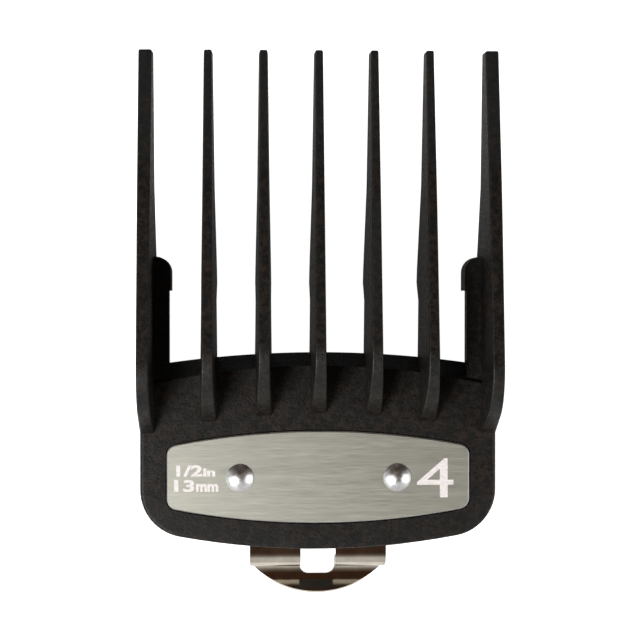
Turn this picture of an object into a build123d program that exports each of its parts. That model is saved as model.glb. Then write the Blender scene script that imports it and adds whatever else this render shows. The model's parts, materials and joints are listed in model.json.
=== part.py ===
"""Clip-on clipper guard comb, size 4.

A one-piece moulded comb, a metal badge let into its face, two rivets, and a spring steel clip that
snaps over the heel of the clipper blade. The comb lies on its back, badge up: X runs across the teeth,
Y towards their tips and Z up through the badge. The blade would sit underneath, against the seat.
"""
import os
from math import asin, cos, degrees, radians, sqrt, tan

from build123d import *

# ---- Blade and overall size ---------------------------------------------------------------------
blade_width = 46.0            # full-size clipper blade
guide_clearance = 0.15        # each side of the blade
overall_length = 83.4         # tooth tips to thumb lip
body_width = 54.5             # across the end teeth

# ---- Heights above the surface the comb rests on -------------------------------------------------
seat_z = 4.4                  # face the blade lies against
face_z = 7.7                  # front face of the base
ear_z = 7.2                   # front of the ears

# ---- Base plate ----------------------------------------------------------------------------------
base_bottom_y = -34.2         # lowest point of the arched bottom edge
base_top_y = -4.1             # rear of the arched top edge
bevel_run = 2.0               # how far the top edge leans back
bevel_land = 0.3              # square strip left at the foot of that bevel
arch_radius = 117.0           # bottom edge, front top edge and badge edges are arched alike
rear_arch_radius = 165.0      # the rear of the top edge is flatter
corner_radius = 7.3
face_round = 0.6

# ---- Teeth ---------------------------------------------------------------------------------------
inner_teeth = 5
inner_pitch = 8.4
root_y = -13.4                # toe of the middle tooth on the front face
end_root_inset = 1.0          # toe of the end teeth follows the arch up to this far from the side
rise_angle = 64.0             # slope of the shoulder
shoulder_radius = 8.2
crest_mid = (19.1, 14.8)      # where the long crest changes slope (Y, Z)
crest_mid_radius = 200.0
crest_slope = 0.13            # fall of the crest behind that point, mm per mm
toe_depth = 1.1               # how far each tooth's toe reaches into the base
tip_top_z = 10.5
tip_bottom_z = 7.6
inner_half = 1.25             # half thickness at the seat plane
outer_inset = 2.3             # thickness of the two end teeth at the seat plane
inner_taper = 0.0105          # half thickness lost per mm towards the tip
end_taper = 0.001             # thickness of the end teeth lost per mm towards the tip
tooth_draft = 0.036           # half thickness lost per mm of height
crest_round = 0.28
tip_round = 1.0
crest_width_limit = 0.8       # crest edges along the tooth span less than this across it
stop_foot_y = 3.9             # where the blade stop behind each tooth starts to stand out of the seat
stop_y = 6.7                  # deepest point of that stop
stop_depth = 2.4
stop_back = (2.0, 0.3)        # the back of the stop starts this much further out and further up
back_end_y = 21.3             # where the straight back of the stop meets the thin end of the tooth
back_end_z = 6.2

# ---- Side rails and ears -------------------------------------------------------------------------
guide_end_y = -23.2
rail_top_y = -9.2             # the rails beside the blade's heel end under the base
fin_x = 24.8                  # under the end teeth, outside the ears, a rib runs down to the surface
ear_top_y = 10.6
ear_corner = 2.4
ear_x = 22.8                  # inner edge of each ear, in front of the blade
lug_x = 22.5                  # lug at the ear's end, which the corner of the blade stops against
lug_y = 5.4                   # rear face of that lug

# ---- Badge and rivets ----------------------------------------------------------------------------
badge_width = 46.3
badge_mid_y = -23.1
badge_mid_height = 14.1
badge_thickness = 0.8
badge_proud = 0.1
badge_gap = 0.18
badge_corner = 1.7
badge_round = 0.2
rivet_spacing = 24.1
rivet_y = -23.2
rivet_shank = 2.4
rivet_bore = 2.44
rivet_head = 4.2
rivet_head_height = 1.0
rivet_rim = 0.15
rivet_tail = 3.6

# ---- Spring clip ---------------------------------------------------------------------------------
clip_sheet = 0.6
clip_pocket = 1.3             # depth of the pocket in the rear of the base
clip_root_width = 30.0
clip_root_top_y = -19.3
clip_root_bottom_y = -30.5
clip_pocket_gap = 0.25
tab_width = 21.0
hinge_y = -34.6               # line that the clip bends about
hinge_gap = 0.03
window_width = 5.4
window_top_y = -32.1
window_bottom_y = -38.9
window_corner = 1.3
clip_root_corner = 1.5
clip_overlap = 4.0            # how far the tab's width runs up into the root
wall_drop = 2.4               # from the hinge line back to the clip's wall
wall_foot = 1.3               # how far below the seat the wall turns in to the catch
catch_reach = 1.1             # how far the catch stands in from the wall, over the blade's heel
bend_radii = [1.9, 0.7, 0.45]  # at the top of the wall, its foot and the catch
lip_angle = 30.0
lip_radius = 3.0
lip_low_y = -38.7
lip_half = (11.5, 8.4)        # half axes of the ellipse that rounds off the lip
tail_gap = 0.1                # set end of each rivet to the seat plane
tail_chamfer = 0.2
spare = 1.0                   # how far trimming shapes run past what they trim
tolerance = 0.01              # for picking out edges and corners by their height

# ---- Worked out from the above -------------------------------------------------------------------
half_width = body_width / 2
tip_y = overall_length / 2
guide_x = blade_width / 2 + guide_clearance
stop_z = seat_z - stop_depth
badge_floor_z = face_z + badge_proud - badge_thickness
badge_top_z = face_z + badge_proud
clip_top_z = seat_z + clip_pocket
clip_bottom_z = clip_top_z - clip_sheet
hinge_z = clip_top_z - clip_sheet / 2
rivet_points = [(-rivet_spacing / 2, rivet_y), (rivet_spacing / 2, rivet_y)]
lip_slope = tan(radians(lip_angle))
lip_corner_z = clip_sheet / 2 - lip_radius * (1 / cos(radians(lip_angle)) - 1)
lip_end_y = -overall_length / 2
wall_y = hinge_y - wall_drop
catch_y = wall_y + catch_reach


def arch(x, radius=arch_radius):
    """Drop of an arched edge at a distance x from the middle."""
    return radius - sqrt(radius**2 - x**2)


def arched_outline(half, top, bottom, top_radius=arch_radius):
    """Closed outline with straight sides, an arched top and an arched bottom."""
    top_side = top - arch(half, top_radius)
    bottom_side = bottom + arch(half)
    ThreePointArc((-half, top_side), (0, top), (half, top_side))
    Line((half, top_side), (half, bottom_side))
    ThreePointArc((half, bottom_side), (0, bottom), (-half, bottom_side))
    Line((-half, bottom_side), (-half, top_side))


def tooth_profile(toe_y):
    """Side view of a tooth, as (Y, Z): toe, shoulder, crest, tip, blade stop and seat."""
    rise = tan(radians(rise_angle))
    mid_y, mid_z = crest_mid
    shoulder_y = (mid_z + crest_slope * mid_y + rise * toe_y - face_z) / (rise + crest_slope)
    shoulder_z = face_z + rise * (shoulder_y - toe_y)
    crest = FilletPolyline(
        (toe_y, face_z),
        (shoulder_y, shoulder_z),
        crest_mid,
        (tip_y, tip_top_z),
        radius=[shoulder_radius, crest_mid_radius],
    )
    back = Polyline(
        crest @ 1,
        (tip_y, tip_bottom_z),
        (back_end_y, back_end_z),
        (stop_y + stop_back[0], stop_z + stop_back[1]),
        (stop_y, stop_z),
        (stop_foot_y, seat_z),
        (base_top_y - bevel_run, seat_z),
        (toe_y, face_z - toe_depth),
        crest @ 0,
    )
    return back


def tooth(toe_y, faces):
    """One tooth: its side view drawn out across the comb, then trimmed by its two side faces."""
    with BuildPart() as blank:
        with BuildSketch(Plane.YZ):
            with BuildLine():
                tooth_profile(toe_y)
            make_face()
            corners = vertices().filter_by(lambda v: v.Z > tip_bottom_z - tolerance).sort_by(Axis.Y)[-2:]
            fillet(corners, radius=tip_round)
        extrude(amount=body_width, both=True)
        for face in faces:
            split(bisect_by=face, keep=Keep.BOTTOM)
        crest_edges = edges().filter_by(lambda e: e.center().Z > face_z + tolerance)
        sides = crest_edges.filter_by(lambda e: e.bounding_box().size.X < crest_width_limit)
        fillet(sides, radius=crest_round)
    return blank.part


def drafted_face(x, side, taper):
    """Side face of a tooth, leaning in towards the crest and towards the tip."""
    return Plane(origin=(x, 0, seat_z), z_dir=(side, taper, tooth_draft))


def upright_face(side):
    return Plane(origin=(side * half_width, 0, 0), z_dir=(side, 0, 0))


def inner_tooth(x):
    faces = [drafted_face(x + side * inner_half, side, inner_taper) for side in (-1, 1)]
    return tooth(root_y - arch(x), faces)


def end_tooth(side):
    inner_x = side * (half_width - outer_inset)
    toe_y = root_y - arch(half_width - end_root_inset)
    return tooth(toe_y, [drafted_face(inner_x, -side, end_taper), upright_face(side)])


def base_outline(top, top_radius):
    """Outline of the base plate, with its two lower corners rounded."""
    with BuildSketch() as outline:
        with BuildLine():
            arched_outline(half_width, top, base_bottom_y, top_radius)
        make_face()
        fillet(vertices().sort_by(Axis.Y)[:2], radius=corner_radius)
    return outline.sketch


def badge_outline(gap):
    """Outline of the badge, grown all round by a gap."""
    half_height = badge_mid_height / 2 + gap
    with BuildSketch() as outline:
        with BuildLine():
            arched_outline(badge_width / 2 + gap, badge_mid_y + half_height, badge_mid_y - half_height)
        make_face()
        fillet(vertices(), radius=badge_corner + gap)
    return outline.sketch


def side_strip(side, inner_x, low_y, high_y):
    """Straight strip along one side of the comb."""
    with BuildSketch() as strip:
        with Locations((side * (half_width + inner_x) / 2, (low_y + high_y) / 2)):
            Rectangle(half_width - inner_x, high_y - low_y)
    return strip.sketch


def lug_outline(side):
    """Lug at the end of an ear, with its inner top corner rounded off."""
    with BuildSketch() as lug:
        add(side_strip(side, lug_x, lug_y, ear_top_y))
        inner_corner = vertices().group_by(Axis.Y)[-1].sort_by(lambda v: abs(v.X))[0]
        fillet(inner_corner, radius=ear_corner)
    return lug.sketch


def raise_outline(outline, low_z, high_z):
    """Extrude an outline between two heights."""
    with BuildPart() as block:
        with BuildSketch(Plane.XY.offset(low_z)):
            add(outline)
        extrude(amount=high_z - low_z)
    return block.part


# ---- Comb body: base plate, seven teeth, side rails and ears in one moulding ---------------------
tooth_parts = [inner_tooth((i - (inner_teeth - 1) / 2) * inner_pitch) for i in range(inner_teeth)]
tooth_parts += [end_tooth(-1), end_tooth(1)]

with BuildPart() as comb_body:
    bevel_foot_z = seat_z + bevel_land
    add(raise_outline(base_outline(base_top_y, rear_arch_radius), seat_z, bevel_foot_z))
    with BuildSketch(Plane.XY.offset(bevel_foot_z)):
        add(base_outline(base_top_y, rear_arch_radius))
    with BuildSketch(Plane.XY.offset(face_z)):
        add(base_outline(base_top_y - bevel_run, arch_radius))
    loft()
    front_edges = faces().sort_by(Axis.Z)[-1].edges().sort_by(Axis.Y)
    fillet(front_edges[:-1], radius=face_round)
    for side in (-1, 1):
        add(raise_outline(side_strip(side, fin_x, guide_end_y, ear_top_y), 0, seat_z))
        add(raise_outline(side_strip(side, guide_x, guide_end_y, rail_top_y), 0, seat_z))
        add(raise_outline(side_strip(side, ear_x, rail_top_y, lug_y + spare), seat_z, ear_z))
        add(raise_outline(lug_outline(side), stop_z, ear_z))
    add(tooth_parts)
    add(raise_outline(badge_outline(badge_gap), badge_floor_z, face_z + spare), mode=Mode.SUBTRACT)

    with BuildSketch(Plane.XY.offset(seat_z)):
        root_half = clip_root_width / 2 + clip_pocket_gap
        leg_half = tab_width / 2 + clip_pocket_gap
        with BuildLine():
            Polyline(
                (-root_half, clip_root_top_y + clip_pocket_gap),
                (root_half, clip_root_top_y + clip_pocket_gap),
                (root_half, clip_root_bottom_y - clip_pocket_gap),
                (leg_half, clip_root_bottom_y - clip_pocket_gap),
                (leg_half, base_bottom_y - spare),
                (-leg_half, base_bottom_y - spare),
                (-leg_half, clip_root_bottom_y - clip_pocket_gap),
                (-root_half, clip_root_bottom_y - clip_pocket_gap),
                close=True,
            )
        make_face()
    extrude(amount=clip_pocket, mode=Mode.SUBTRACT)
    with Locations(Plane.XY.offset(face_z)):
        with Locations(*rivet_points):
            Hole(rivet_bore / 2)
comb_body.part.label = "comb_body"

# ---- Badge: metal plate let into the front of the base -------------------------------------------
with BuildPart() as badge_plate:
    add(raise_outline(badge_outline(0), badge_floor_z, badge_top_z))
    chamfer(faces().sort_by(Axis.Z)[-1].edges(), length=badge_round)
    with Locations(Plane.XY.offset(badge_top_z)):
        with Locations(*rivet_points):
            Hole(rivet_bore / 2)
badge_plate.part.label = "badge_plate"


def rivet(x, y):
    """Domed head on the badge, shank through badge, moulding and clip, tail set behind the clip."""
    tail_z = seat_z + tail_gap
    head = rivet_head / 2
    tail = rivet_tail / 2
    shank = rivet_shank / 2
    rim_z = badge_top_z + rivet_rim
    crown_z = badge_top_z + rivet_head_height
    rise = crown_z - rim_z
    dome_radius = (head**2 + rise**2) / (2 * rise)
    rim_angle = degrees(asin((dome_radius - rise) / dome_radius))
    with BuildPart() as body:
        with BuildSketch(Plane((x, y, 0), x_dir=(1, 0, 0), z_dir=(0, -1, 0))):
            with BuildLine():
                Polyline(
                    (0, crown_z),
                    (0, tail_z),
                    (tail - tail_chamfer, tail_z),
                    (tail, clip_bottom_z),
                    (shank, clip_bottom_z),
                    (shank, badge_top_z),
                    (head, badge_top_z),
                    (head, rim_z),
                )
                CenterArc((0, crown_z - dome_radius), dome_radius, rim_angle, 90 - rim_angle)
            make_face()
        revolve(axis=Axis((x, y, 0), (0, 0, 1)))
    return body.part


# ---- Clip root: flat spring steel in the rear pocket, up to the line it bends about --------------
with BuildPart() as clip_plate:
    with BuildSketch(Plane.XY.offset(clip_bottom_z)):
        root_end_y = hinge_y + clip_sheet / 2 + hinge_gap
        with Locations((0, (clip_root_top_y + clip_root_bottom_y) / 2)):
            RectangleRounded(clip_root_width, clip_root_top_y - clip_root_bottom_y, clip_root_corner)
        leg_top_y = clip_root_bottom_y + clip_overlap
        with Locations((0, (leg_top_y + root_end_y) / 2)):
            Rectangle(tab_width, leg_top_y - root_end_y)
        with Locations((0, (window_top_y + window_bottom_y) / 2)):
            Rectangle(window_width, window_top_y - window_bottom_y, mode=Mode.SUBTRACT)
        with Locations(*rivet_points):
            Circle(rivet_bore / 2, mode=Mode.SUBTRACT)
    extrude(amount=clip_sheet)
clip_plate.part.label = "clip_plate"

# ---- Clip tab: bend, wall, catch and thumb lip, which swing back to let the blade go --------------
with BuildPart() as clip_tab:
    with BuildSketch(Plane.YZ) as clip_section:
        with BuildLine() as clip_run:
            FilletPolyline(
                (hinge_y, hinge_z),
                (wall_y, hinge_z),
                (wall_y, seat_z - wall_foot),
                (catch_y, lip_corner_z + lip_slope * (catch_y - lip_low_y)),
                (lip_low_y, lip_corner_z),
                (lip_end_y - spare, lip_corner_z + lip_slope * (lip_low_y - lip_end_y + spare)),
                radius=[*bend_radii, lip_radius],
            )
        trace(line_width=clip_sheet)
        with Locations((hinge_y, hinge_z)):
            Circle(clip_sheet / 2)
    extrude(amount=tab_width / 2, both=True)
    with BuildSketch(Plane.XY.offset(-spare)):
        with Locations((0, lip_end_y + lip_half[1])):
            Ellipse(*lip_half)
        with Locations((0, (window_top_y + window_bottom_y) / 2)):
            RectangleRounded(
                window_width,
                window_top_y - window_bottom_y,
                window_corner,
                mode=Mode.SUBTRACT,
            )
    extrude(amount=face_z + spare, mode=Mode.INTERSECT)
clip_tab.part.label = "clip_tab"

rivet_left = rivet(*rivet_points[0])
rivet_left.label = "rivet_left"
rivet_right = rivet(*rivet_points[1])
rivet_right.label = "rivet_right"

os.makedirs("parts", exist_ok=True)
export_step(comb_body.part, "parts/comb_body.step")
export_step(badge_plate.part, "parts/badge_plate.step")
export_step(rivet_left, "parts/rivet_left.step")
export_step(rivet_right, "parts/rivet_right.step")
export_step(clip_plate.part, "parts/clip_plate.step")
export_step(clip_tab.part, "parts/clip_tab.step")
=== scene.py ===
"""Looks for the clipper guard comb: satin black moulding, brushed badge, printed size marks, domed
rivets and a plated spring clip, on a plain white table."""
import json
from math import acos, ceil, cos, pi, radians, sin, sqrt, tan

import bmesh
import bpy
from mathutils import Matrix, Vector


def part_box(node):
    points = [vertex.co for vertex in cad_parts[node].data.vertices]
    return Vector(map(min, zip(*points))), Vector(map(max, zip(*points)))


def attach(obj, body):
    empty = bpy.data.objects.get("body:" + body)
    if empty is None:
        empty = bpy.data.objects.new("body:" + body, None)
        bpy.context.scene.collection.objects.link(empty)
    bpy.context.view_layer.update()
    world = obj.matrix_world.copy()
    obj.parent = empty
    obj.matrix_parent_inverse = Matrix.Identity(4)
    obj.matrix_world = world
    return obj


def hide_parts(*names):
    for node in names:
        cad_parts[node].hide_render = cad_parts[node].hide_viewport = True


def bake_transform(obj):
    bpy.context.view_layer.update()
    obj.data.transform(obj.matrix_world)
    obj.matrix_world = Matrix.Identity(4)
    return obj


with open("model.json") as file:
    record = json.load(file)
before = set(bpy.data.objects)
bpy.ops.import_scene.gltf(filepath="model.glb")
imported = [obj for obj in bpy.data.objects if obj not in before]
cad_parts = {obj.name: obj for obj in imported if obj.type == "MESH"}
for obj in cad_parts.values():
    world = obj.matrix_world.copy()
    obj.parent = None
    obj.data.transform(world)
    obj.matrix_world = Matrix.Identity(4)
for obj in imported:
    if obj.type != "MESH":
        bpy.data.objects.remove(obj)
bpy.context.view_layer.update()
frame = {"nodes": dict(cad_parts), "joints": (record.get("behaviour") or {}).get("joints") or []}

MM = 0.001
NODES = frame["nodes"]
JOINT = frame["joints"][0]
HINGE = Vector(JOINT["pos_m"])

BADGE_LOW, BADGE_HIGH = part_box("badge_plate")
TAB_LOW, TAB_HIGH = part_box("clip_tab")
PLATE_LOW, PLATE_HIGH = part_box("clip_plate")

TABLE_GLOW = 0.07             # how bright the table is as a light
TABLE_SHEEN = 0.12            # and where it shows in a gloss
TABLE_GAP = 0.05 * MM         # keeps the table clear of the comb's resting face
ROOM_GLOW = 0.30              # how bright the room is as a light
ROOM_SHEEN = 0.7              # and where it shows in a gloss

WINDOW_WIDTH = 5.4 * MM
WINDOW_RISE = 2.5 * MM        # window's end in front of the hinge line
WINDOW_DROP = 4.3 * MM        # and behind it
WINDOW_CORNER = 1.3 * MM
CORNER_STEPS = 6
WALL_DROP = 2.4 * MM          # from the hinge line back to the clip's wall
WALL_HEIGHT = 2.3 * MM
WALL_BENDS = [1.9 * MM, 0.7 * MM, 0.45 * MM]  # at the wall's top, its foot and the catch
CATCH_REACH = 1.1 * MM
LIP_DROP = 4.1 * MM           # from the hinge line back to the lip's lowest line
LIP_BEND = 3.0 * MM
LIP_ANGLE = radians(30)
LIP_LENGTH = 8.4 * MM         # half axes of the ellipse that rounds off the lip
LIP_HALF_WIDTH = 11.5 * MM
CLIP_STEP = 0.15 * MM
POINT_GAP = 0.001 * MM        # corners of the blank closer than this are one
CLIP_CREASE = 35              # degrees; the sheet's cut edges are sharper than this
SHOULDER_RISE = 4.14 * MM     # the wide root ends this far in front of the plate's rear end

PLASTIC_COLOUR = (0.0036, 0.0037, 0.0034)
DUST_COLOUR = (0.019, 0.0125, 0.0085)
# lighter colour: a painted highlight on raised edges, and wear in random patches
EDGE_SHEEN_AND_WEAR_COLOUR = (0.016, 0.017, 0.0165)
PLASTIC_SPECULAR = 0.2
BADGE_DARK = (0.43, 0.43, 0.375)
BADGE_LIGHT = (0.58, 0.58, 0.505)
# near-white painted highlight for the badge's chamfered rim
RIM_HIGHLIGHT_COLOUR = (0.95, 0.94, 0.88)

INK_THICKNESS = 0.02 * MM

CAMERA_HEIGHT = 275 * MM      # above what it aims at
CAMERA_PLACE = (-10.55 * MM, 4.0 * MM)
CAMERA_TARGET = (0.23 * MM, 0.9 * MM)
CAMERA_LENS = 101.3
FACE_SETBACK = 0.1 * MM       # the camera aims this far below the top of the badge
TABLE_HALF_SIDE = 2.0


# ---- Node helpers --------------------------------------------------------------------------------
def new_material(name):
    """A new material, its node tree and its shader."""
    material = bpy.data.materials.new(name)
    material.use_nodes = True
    tree = material.node_tree
    shader = tree.nodes["Principled BSDF"]
    return material, tree, shader


def add_node(tree, kind, settings=None, **inputs):
    """Adds one node, sets its properties, and sets or links its inputs."""
    node = tree.nodes.new(kind)
    for key, value in (settings or {}).items():
        setattr(node, key, value)
    for key, value in inputs.items():
        socket = node.inputs[key.replace("_", " ")]
        if isinstance(value, bpy.types.NodeSocket):
            tree.links.new(value, socket)
        else:
            socket.default_value = value
    return node


def mapped_coordinates(tree, scale=(1, 1, 1)):
    """Object coordinates, stretched by scale."""
    source = tree.nodes.new("ShaderNodeTexCoord")
    mapping = tree.nodes.new("ShaderNodeMapping")
    mapping.inputs["Scale"].default_value = scale
    tree.links.new(source.outputs["Object"], mapping.inputs["Vector"])
    return mapping.outputs["Vector"]


def ramp(tree, factor, stops):
    """Colour ramp through (position, grey or colour) stops."""
    node = tree.nodes.new("ShaderNodeValToRGB")
    elements = node.color_ramp.elements
    while len(elements) < len(stops):
        elements.new(0.5)
    for element, (position, value) in zip(elements, stops):
        element.position = position
        colour = value if isinstance(value, tuple) else (value, value, value)
        element.color = (*colour, 1.0)
    tree.links.new(factor, node.inputs["Fac"])
    return node.outputs["Color"]


def new_group(name, inputs, outputs):
    """A shader node group with float inputs (name, value) and outputs (name, kind)."""
    group = bpy.data.node_groups.new(name, "ShaderNodeTree")
    number = "NodeSocketFloat"
    for label, value in inputs:
        socket = group.interface.new_socket(name=label, in_out="INPUT", socket_type=number)
        socket.default_value = value
    for label, kind in outputs:
        group.interface.new_socket(name=label, in_out="OUTPUT", socket_type=kind)
    return group, group.nodes.new("NodeGroupInput"), group.nodes.new("NodeGroupOutput")


def use_group(tree, group, **inputs):
    """Places a group in a material with its own values."""
    node = tree.nodes.new("ShaderNodeGroup")
    node.node_tree = group
    for key, value in inputs.items():
        node.inputs[key].default_value = value
    return node


# ---- Shared surface effects ----------------------------------------------------------------------
def make_grain():
    """Fine uneven grain: a roughness value and a bumped normal, of a given size and strength."""
    inputs = [("Size", 3000.0), ("Smooth", 0.3), ("Rough", 0.5), ("Height", 0.00002)]
    outputs = [
        ("Roughness", "NodeSocketFloat"),
        ("Normal", "NodeSocketVector"),
        ("Mask", "NodeSocketFloat"),
    ]
    group, given, result = new_group("surface_grain", inputs, outputs)
    at = group.nodes.new("ShaderNodeTexCoord").outputs["Object"]
    size = given.outputs["Size"]
    noise = add_node(group, "ShaderNodeTexNoise", Vector=at, Scale=size, Detail=3.0, Roughness=0.6)
    uneven = noise.outputs["Fac"]
    spread = add_node(group, "ShaderNodeMapRange", Value=uneven, From_Min=0.3, From_Max=0.7)
    group.links.new(given.outputs["Smooth"], spread.inputs["To Min"])
    group.links.new(given.outputs["Rough"], spread.inputs["To Max"])
    bump = add_node(group, "ShaderNodeBump", Strength=1.0, Height=noise.outputs["Fac"])
    group.links.new(given.outputs["Height"], bump.inputs["Distance"])
    group.links.new(spread.outputs["Result"], result.inputs["Roughness"])
    group.links.new(bump.outputs["Normal"], result.inputs["Normal"])
    group.links.new(noise.outputs["Fac"], result.inputs["Mask"])
    return group


def make_edge_sheen_and_wear():
    """A broken mask: random worn patches, and a painted highlight on raised edges."""
    inputs = [("Edge", 0.5), ("Patches", 0.3)]
    group, given, result = new_group("edge_sheen_and_wear", inputs, [("Mask", "NodeSocketFloat")])
    at = group.nodes.new("ShaderNodeTexCoord").outputs["Object"]
    edge = group.nodes.new("ShaderNodeNewGeometry").outputs["Pointiness"]
    # raised edges, where the painted highlight goes
    raised = add_node(group, "ShaderNodeMapRange", Value=edge, From_Min=0.51, From_Max=0.56)
    noise = add_node(group, "ShaderNodeTexNoise", Vector=at, Scale=700.0, Detail=5.0, Roughness=0.65)
    broken = noise.outputs["Fac"]
    patches = add_node(group, "ShaderNodeMapRange", Value=broken, From_Min=0.45, From_Max=0.75)
    edges = group.nodes.new("ShaderNodeMath")
    edges.operation = "MULTIPLY"
    group.links.new(raised.outputs["Result"], edges.inputs[0])
    group.links.new(given.outputs["Edge"], edges.inputs[1])
    spots = group.nodes.new("ShaderNodeMath")
    spots.operation = "MULTIPLY"
    group.links.new(patches.outputs["Result"], spots.inputs[0])
    group.links.new(given.outputs["Patches"], spots.inputs[1])
    total = group.nodes.new("ShaderNodeMath")
    total.operation = "ADD"
    total.use_clamp = True
    group.links.new(edges.outputs["Value"], total.inputs[0])
    group.links.new(spots.outputs["Value"], total.inputs[1])
    group.links.new(total.outputs["Value"], result.inputs["Mask"])
    return group


GRAIN = make_grain()
EDGE_SHEEN_AND_WEAR = make_edge_sheen_and_wear()


# ---- Materials -----------------------------------------------------------------------------------
def black_plastic():
    """Satin black moulding: fine spark-eroded grain, patches of warm dust and of wear, painted edge
    highlights.
    """
    material, tree, shader = new_material("satin_black_moulding")
    grain = use_group(tree, GRAIN, Size=2600.0, Smooth=0.30, Rough=0.60, Height=0.06 * MM)
    edge_sheen_and_wear_mask = use_group(tree, EDGE_SHEEN_AND_WEAR, Edge=0.5, Patches=0.25)
    at = mapped_coordinates(tree)
    cloud = add_node(tree, "ShaderNodeTexNoise", Vector=at, Scale=1100.0, Detail=6.0, Roughness=0.75)
    dust = ramp(tree, cloud.outputs["Fac"], [(0.46, PLASTIC_COLOUR), (0.60, DUST_COLOUR)])
    # mixes in the lighter colour: painted highlight on raised edges, wear in random patches
    colour = add_node(tree, "ShaderNodeMix", {"data_type": "RGBA"})
    tree.links.new(edge_sheen_and_wear_mask.outputs["Mask"], colour.inputs[0])
    tree.links.new(dust, colour.inputs[6])
    colour.inputs[7].default_value = (*EDGE_SHEEN_AND_WEAR_COLOUR, 1)
    tree.links.new(colour.outputs[2], shader.inputs["Base Color"])
    tree.links.new(grain.outputs["Roughness"], shader.inputs["Roughness"])
    tree.links.new(grain.outputs["Normal"], shader.inputs["Normal"])
    shader.inputs["Specular IOR Level"].default_value = PLASTIC_SPECULAR
    return material


def painted_rim_highlight(tree, face):
    """The face colour, and a painted highlight in near white on the leaning rim."""
    lean = add_node(tree, "ShaderNodeSeparateXYZ")
    tree.links.new(tree.nodes.new("ShaderNodeTexCoord").outputs["Normal"], lean.inputs["Vector"])
    # surfaces leaning away from flat get the painted highlight
    rim = add_node(tree, "ShaderNodeMapRange", Value=lean.outputs["Z"], From_Min=0.97, From_Max=0.85)
    colour = add_node(tree, "ShaderNodeMix", {"data_type": "RGBA"})
    tree.links.new(rim.outputs["Result"], colour.inputs[0])
    tree.links.new(face, colour.inputs[6])
    colour.inputs[7].default_value = (*RIM_HIGHLIGHT_COLOUR, 1)
    return colour.outputs[2]


def brushed_badge():
    """Metal brushed across the comb, in fine uneven streaks."""
    material, tree, shader = new_material("brushed_badge_metal")
    fine = mapped_coordinates(tree, (260, 11000, 260))
    wide = mapped_coordinates(tree, (60, 2200, 60))
    streaks = add_node(tree, "ShaderNodeTexNoise", Vector=fine, Scale=1.0, Detail=3.0, Roughness=0.6)
    bands = add_node(tree, "ShaderNodeTexNoise", Vector=wide, Scale=1.0, Detail=2.0, Roughness=0.5)
    mixed = add_node(tree, "ShaderNodeMix", {"data_type": "FLOAT"}, Factor=0.25)
    tree.links.new(streaks.outputs["Fac"], mixed.inputs[2])
    tree.links.new(bands.outputs["Fac"], mixed.inputs[3])
    face = ramp(tree, mixed.outputs[0], [(0.3, BADGE_DARK), (0.7, BADGE_LIGHT)])
    rough = ramp(tree, mixed.outputs[0], [(0.3, 0.38), (0.7, 0.46)])
    # the rim gets a painted highlight
    colour = painted_rim_highlight(tree, face)
    bump = add_node(tree, "ShaderNodeBump", Strength=0.12, Distance=0.008 * MM, Height=mixed.outputs[0])
    tree.links.new(colour, shader.inputs["Base Color"])
    tree.links.new(rough, shader.inputs["Roughness"])
    tree.links.new(bump.outputs["Normal"], shader.inputs["Normal"])
    shader.inputs["Metallic"].default_value = 1.0
    return material


def rivet_metal():
    """Satin aluminium with faint handling marks."""
    material, tree, shader = new_material("rivet_aluminium")
    grain = use_group(tree, GRAIN, Size=1500.0, Smooth=0.26, Rough=0.38, Height=0.008 * MM)
    colour = ramp(tree, grain.outputs["Mask"], [(0.3, 0.62), (0.7, 0.78)])
    tree.links.new(colour, shader.inputs["Base Color"])
    tree.links.new(grain.outputs["Roughness"], shader.inputs["Roughness"])
    tree.links.new(grain.outputs["Normal"], shader.inputs["Normal"])
    shader.inputs["Metallic"].default_value = 1.0
    return material


def plated_clip():
    """Polished plating over spring steel, slightly uneven."""
    material, tree, shader = new_material("polished_plating")
    grain = use_group(tree, GRAIN, Size=420.0, Smooth=0.05, Rough=0.11, Height=0.010 * MM)
    colour = ramp(tree, grain.outputs["Mask"], [(0.3, (0.52, 0.47, 0.39)), (0.7, (0.66, 0.61, 0.52))])
    tree.links.new(colour, shader.inputs["Base Color"])
    tree.links.new(grain.outputs["Roughness"], shader.inputs["Roughness"])
    tree.links.new(grain.outputs["Normal"], shader.inputs["Normal"])
    shader.inputs["Metallic"].default_value = 1.0
    return material


def print_ink():
    """Pale printing ink, a little uneven in colour."""
    material, tree, shader = new_material("pale_print")
    grain = use_group(tree, GRAIN, Size=1800.0, Smooth=0.4, Rough=0.6, Height=0.001 * MM)
    colour = ramp(tree, grain.outputs["Mask"], [(0.3, (0.70, 0.64, 0.62)), (0.6, (0.84, 0.79, 0.77))])
    tree.links.new(colour, shader.inputs["Base Color"])
    tree.links.new(grain.outputs["Roughness"], shader.inputs["Roughness"])
    tree.links.new(grain.outputs["Normal"], shader.inputs["Normal"])
    return material


def glow_by_ray(tree, light, sheen):
    """Full white to look at, a chosen strength as a light, another where it shows in a gloss."""
    path = tree.nodes.new("ShaderNodeLightPath")
    glossy = path.outputs["Is Glossy Ray"]
    gloss = add_node(tree, "ShaderNodeMapRange", Value=glossy, To_Min=light, To_Max=sheen)
    seen = add_node(tree, "ShaderNodeMapRange", Value=path.outputs["Is Camera Ray"], To_Max=1.0)
    tree.links.new(gloss.outputs["Result"], seen.inputs["To Min"])
    return seen


def table_white():
    """Plain white table: pure white to look at, dimmer as a light under the comb."""
    material, tree, shader = new_material("white_table")
    shader.inputs["Base Color"].default_value = (0.8, 0.8, 0.8, 1)
    shader.inputs["Roughness"].default_value = 0.9
    glow = glow_by_ray(tree, TABLE_GLOW, TABLE_SHEEN)
    shader.inputs["Emission Color"].default_value = (1, 1, 1, 1)
    tree.links.new(glow.outputs["Result"], shader.inputs["Emission Strength"])
    return material


def paint(node_name, material):
    """Gives a CAD node its material."""
    mesh = NODES[node_name].data
    mesh.materials.clear()
    mesh.materials.append(material)


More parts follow.
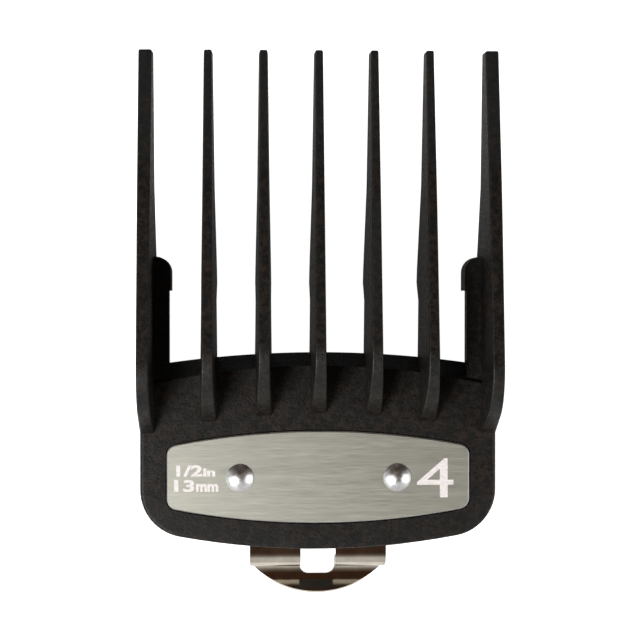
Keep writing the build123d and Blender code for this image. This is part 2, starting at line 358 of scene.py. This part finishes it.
# ---- Mesh helpers --------------------------------------------------------------------------------
def finish_piece(bm, name, material, smooth_angle=40):
    """Turns a bmesh into a placed, smooth-shaded object."""
    bmesh.ops.recalc_face_normals(bm, faces=bm.faces)
    mesh = bpy.data.meshes.new(name)
    bm.to_mesh(mesh)
    bm.free()
    piece = bpy.data.objects.new(name, mesh)
    bpy.context.scene.collection.objects.link(piece)
    mesh.materials.append(material)
    mesh.shade_smooth()
    mesh.set_sharp_from_angle(angle=radians(smooth_angle))
    return piece


def rounded_run(corners, radii, step):
    """Points along straight runs joined by arcs, one radius for each corner between the ends."""
    points = [Vector(corners[0])]
    for i, radius in enumerate(radii, start=1):
        corner = Vector(corners[i])
        back = (Vector(corners[i - 1]) - corner).normalized()
        ahead = (Vector(corners[i + 1]) - corner).normalized()
        half = acos(back.dot(ahead)) / 2
        reach = radius / tan(half)
        centre = corner + (back + ahead).normalized() * radius / sin(half)
        start = corner + back * reach - centre
        end = corner + ahead * reach - centre
        turn = pi - 2 * half
        count = max(3, int(radius * turn / step))
        for k in range(count + 1):
            t = k / count
            points.append(centre + (start * sin((1 - t) * turn) + end * sin(t * turn)) / sin(turn))
    points.append(Vector(corners[-1]))
    return points


def even_steps(run, step):
    """The same run with points added, so that no two neighbours are more than a step apart."""
    points = [run[0]]
    for before, after in zip(run, run[1:]):
        count = max(1, ceil((after - before).length / step))
        points += [before.lerp(after, (k + 1) / count) for k in range(count)]
    return points


# ---- Spring clip ---------------------------------------------------------------------------------
def clip_centreline():
    """Middle of the sheet, seen from the side as (Y, Z), from the root plate to the lip's edge."""
    half_sheet = (PLATE_HIGH.z - PLATE_LOW.z) / 2
    lip_low_y = HINGE.y - LIP_DROP
    lip_low_z = half_sheet - LIP_BEND * (1 / cos(LIP_ANGLE) - 1)
    slope = tan(LIP_ANGLE)
    wall_y = HINGE.y - WALL_DROP
    catch_y = wall_y + CATCH_REACH
    corners = [
        (PLATE_HIGH.y, HINGE.z),
        (wall_y, HINGE.z),
        (wall_y, HINGE.z - WALL_HEIGHT),
        (catch_y, lip_low_z + slope * (catch_y - lip_low_y)),
        (lip_low_y, lip_low_z),
        (TAB_LOW.y, lip_low_z + slope * (lip_low_y - TAB_LOW.y)),
    ]
    run = rounded_run(corners, [*WALL_BENDS, LIP_BEND], CLIP_STEP)
    return even_steps(run, CLIP_STEP)


def clip_half_width(y):
    """Half width of the sheet at a place along the comb: straight legs, then a rounded lip."""
    leg = (TAB_HIGH.x - TAB_LOW.x) / 2
    share = max(0.0, 1 - (y - TAB_LOW.y) / LIP_LENGTH)
    return min(leg, LIP_HALF_WIDTH * sqrt(max(0.0, 1 - share**2)))


def run_lengths(run):
    """Distance along a run to each of its points."""
    lengths = [0.0]
    for before, after in zip(run, run[1:]):
        lengths.append(lengths[-1] + (after - before).length)
    return lengths


def length_at(run, lengths, y, last=False):
    """Distance along the run where it first, or last, passes a place along the comb."""
    passes = [
        lengths[i] + (lengths[i + 1] - lengths[i]) * (run[i].x - y) / (run[i].x - run[i + 1].x)
        for i in range(len(run) - 1)
        if (run[i].x - y) * (run[i + 1].x - y) <= 0 and run[i].x != run[i + 1].x
    ]
    return passes[-1] if last else passes[0]


def bend_point(run, lengths, length):
    """The point of the run at a distance along it."""
    for i in range(len(run) - 1):
        if length <= lengths[i + 1] or i == len(run) - 2:
            share = (length - lengths[i]) / (lengths[i + 1] - lengths[i])
            return run[i].lerp(run[i + 1], share)


def half_blank(run, lengths):
    """One half of the flat blank before bending, as a bmesh face: X across, Y along the sheet."""
    root = (PLATE_HIGH.x - PLATE_LOW.x) / 2
    leg = (TAB_HIGH.x - TAB_LOW.x) / 2
    shoulder = length_at(run, lengths, PLATE_LOW.y + SHOULDER_RISE)
    straight = length_at(run, lengths, HINGE.y)
    window_top = length_at(run, lengths, HINGE.y + WINDOW_RISE)
    window_low = length_at(run, lengths, HINGE.y - WINDOW_DROP, last=True)
    corner = WINDOW_CORNER
    half_window = WINDOW_WIDTH / 2
    outline = [(0, 0), (root, 0), (root, shoulder), (leg, shoulder)]
    tip_steps = [lengths[-1] - CLIP_STEP * (1 - k / CORNER_STEPS) ** 2 for k in range(CORNER_STEPS)]
    for length in sorted(lengths + tip_steps):
        if length > straight:
            outline.append((clip_half_width(bend_point(run, lengths, length).x), length))
    outline.append((0, window_low))
    for k in range(CORNER_STEPS + 1):
        turn = pi / 2 * k / CORNER_STEPS
        across = half_window - corner + corner * sin(turn)
        outline.append((across, window_low - corner + corner * cos(turn)))
    outline += [(half_window, window_top), (0, window_top)]
    bm = bmesh.new()
    corners = [bm.verts.new((x, y, 0)) for x, y in outline]
    bm.faces.new(corners)
    bmesh.ops.remove_doubles(bm, verts=bm.verts, dist=POINT_GAP)
    return bm


def make_clip():
    """Spring clip: one stamped sheet, cut flat, bent, then given its thickness."""
    run = clip_centreline()
    lengths = run_lengths(run)
    bm = half_blank(run, lengths)
    for length in lengths[1:-1]:
        geometry = bm.verts[:] + bm.edges[:] + bm.faces[:]
        cut = {"plane_co": (0, length, 0), "plane_no": (0, 1, 0), "dist": POINT_GAP / 2}
        bmesh.ops.bisect_plane(bm, geom=geometry, **cut)
    geometry = bm.verts[:] + bm.edges[:] + bm.faces[:]
    bmesh.ops.mirror(bm, geom=geometry, axis="X", merge_dist=2 * POINT_GAP)
    for vertex in bm.verts:
        place = bend_point(run, lengths, vertex.co.y)
        vertex.co = (vertex.co.x, place.x, place.y)
    bmesh.ops.recalc_face_normals(bm, faces=bm.faces)
    clip = finish_piece(bm, "clip_sheet", materials["clip"], smooth_angle=CLIP_CREASE)
    sheet = clip.modifiers.new("thickness", "SOLIDIFY")
    sheet.thickness = PLATE_HIGH.z - PLATE_LOW.z
    sheet.offset = 0
    sheet.use_even_offset = True
    bpy.context.view_layer.update()
    solid = clip.evaluated_get(bpy.context.evaluated_depsgraph_get())
    clip.data = bpy.data.meshes.new_from_object(solid)
    clip.modifiers.clear()
    clip.data.set_sharp_from_angle(angle=radians(CLIP_CREASE))
    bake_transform(clip)
    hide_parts("clip_plate", "clip_tab")


materials = {
    "plastic": black_plastic(),
    "badge": brushed_badge(),
    "rivet": rivet_metal(),
    "clip": plated_clip(),
    "ink": print_ink(),
}
paint("comb_body", materials["plastic"])
paint("badge_plate", materials["badge"])
paint("rivet_left", materials["rivet"])
paint("rivet_right", materials["rivet"])
paint("clip_plate", materials["clip"])
paint("clip_tab", materials["clip"])
make_clip()


# ---- Printed size marks --------------------------------------------------------------------------
def print_mark(name, text, width, height, centre, weight):
    """A line of plain figures, printed on the badge and fitted to a width and height."""
    curve = bpy.data.curves.new(name, "FONT")
    curve.body = text
    curve.align_x = "CENTER"
    curve.align_y = "CENTER"
    curve.offset = weight
    curve.extrude = 0.01  # any depth will do, since the ink's thickness is set below
    source = bpy.data.objects.new(name + "_outline", curve)
    bpy.context.scene.collection.objects.link(source)
    bpy.context.view_layer.update()
    mesh = bpy.data.meshes.new_from_object(source)
    bpy.data.objects.remove(source)
    xs = [v.co.x for v in mesh.vertices]
    ys = [v.co.y for v in mesh.vertices]
    middle = Vector(((min(xs) + max(xs)) / 2, (min(ys) + max(ys)) / 2, 0))
    for vertex in mesh.vertices:
        place = vertex.co - middle
        vertex.co.x = centre[0] + place.x * width / (max(xs) - min(xs))
        vertex.co.y = centre[1] + place.y * height / (max(ys) - min(ys))
        vertex.co.z = BADGE_HIGH.z + (INK_THICKNESS if vertex.co.z > 0 else 0)
    piece = bpy.data.objects.new(name, mesh)
    bpy.context.scene.collection.objects.link(piece)
    mesh.materials.clear()
    mesh.materials.append(materials["ink"])
    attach(piece, "comb")


# text, then its width, its height and its place across and along the badge from the middle, in mm,
# and how much heavier its strokes are drawn
SIZE_MARKS = {
    "mark_four": ("4", 5.6, 6.0, 17.9, -0.2, 0.0),
    "mark_half": ("1/2", 4.0, 1.75, -19.7, 1.0, 0.035),
    "mark_inch": ("in", 1.85, 1.25, -16.7, 0.75, 0.045),
    "mark_thirteen": ("13", 3.1, 1.85, -20.5, -1.3, 0.035),
    "mark_millimetre": ("mm", 3.4, 1.2, -17.0, -1.6, 0.045),
}
badge_mid = (BADGE_LOW + BADGE_HIGH) / 2
for mark, (text, width, height, across, along, weight) in SIZE_MARKS.items():
    centre = (badge_mid.x + across * MM, badge_mid.y + along * MM)
    print_mark(mark, text, width * MM, height * MM, centre, weight)


# ---- Table, light and camera ---------------------------------------------------------------------
def make_table():
    """A wide flat table just under the comb."""
    bm = bmesh.new()
    bmesh.ops.create_grid(bm, x_segments=1, y_segments=1, size=TABLE_HALF_SIDE)
    bmesh.ops.translate(bm, verts=bm.verts, vec=(0, 0, -TABLE_GAP))
    table = finish_piece(bm, "table", table_white())


def area_light(name, location, side, power):
    """A square white light aimed at the middle of the comb."""
    light = bpy.data.lights.new(name, "AREA")
    light.shape = "SQUARE"
    light.size = side
    light.energy = power
    lamp = bpy.data.objects.new(name, light)
    lamp.location = location
    lamp.rotation_euler = (-Vector(location)).to_track_quat("-Z", "Y").to_euler()
    bpy.context.scene.collection.objects.link(lamp)


def make_world():
    """A room darker overhead and towards the teeth's side, plain white to look at."""
    world = bpy.data.worlds.new("studio")
    bpy.context.scene.world = world
    world.use_nodes = True
    tree = world.node_tree
    background = tree.nodes["Background"]
    source = tree.nodes.new("ShaderNodeTexCoord")
    height = tree.nodes.new("ShaderNodeVectorMath")
    height.operation = "DOT_PRODUCT"
    height.inputs[1].default_value = (0.15, 0.45, 1.0)
    tree.links.new(source.outputs["Generated"], height.inputs[0])
    colour = ramp(
        tree,
        height.outputs["Value"],
        [(0.0, 1.0), (0.35, 0.95), (0.7, (0.26, 0.22, 0.19)), (0.95, (0.070, 0.034, 0.020))],
    )
    glow = glow_by_ray(tree, ROOM_GLOW, ROOM_SHEEN)
    path = tree.nodes.new("ShaderNodeLightPath")
    seen = add_node(tree, "ShaderNodeMix", {"data_type": "RGBA"})
    tree.links.new(path.outputs["Is Camera Ray"], seen.inputs[0])
    tree.links.new(colour, seen.inputs[6])
    seen.inputs[7].default_value = (1, 1, 1, 1)
    tree.links.new(seen.outputs[2], background.inputs["Color"])
    tree.links.new(glow.outputs["Result"], background.inputs["Strength"])


def make_camera():
    """Nearly straight over the comb, a little left of its middle."""
    data = bpy.data.cameras.new("camera")
    camera = bpy.data.objects.new("camera", data)
    bpy.context.scene.collection.objects.link(camera)
    face_z = BADGE_HIGH.z - FACE_SETBACK
    camera.location = (*CAMERA_PLACE, face_z + CAMERA_HEIGHT)
    target = Vector((*CAMERA_TARGET, face_z))
    back = (camera.location - target).normalized()
    right = Vector((0, 1, 0)).cross(back).normalized()
    camera.rotation_euler = Matrix((right, back.cross(right), back)).transposed().to_euler()
    data.lens = CAMERA_LENS
    data.sensor_width = 36
    data.clip_start = 0.01
    bpy.context.scene.camera = camera


make_table()
make_world()
make_camera()
area_light("key", (-0.24, -0.18, 0.35), side=0.22, power=2.3)
area_light("fill", (0.36, -0.10, 0.26), side=0.3, power=0.8)

bpy.context.scene.view_settings.view_transform = "Standard"
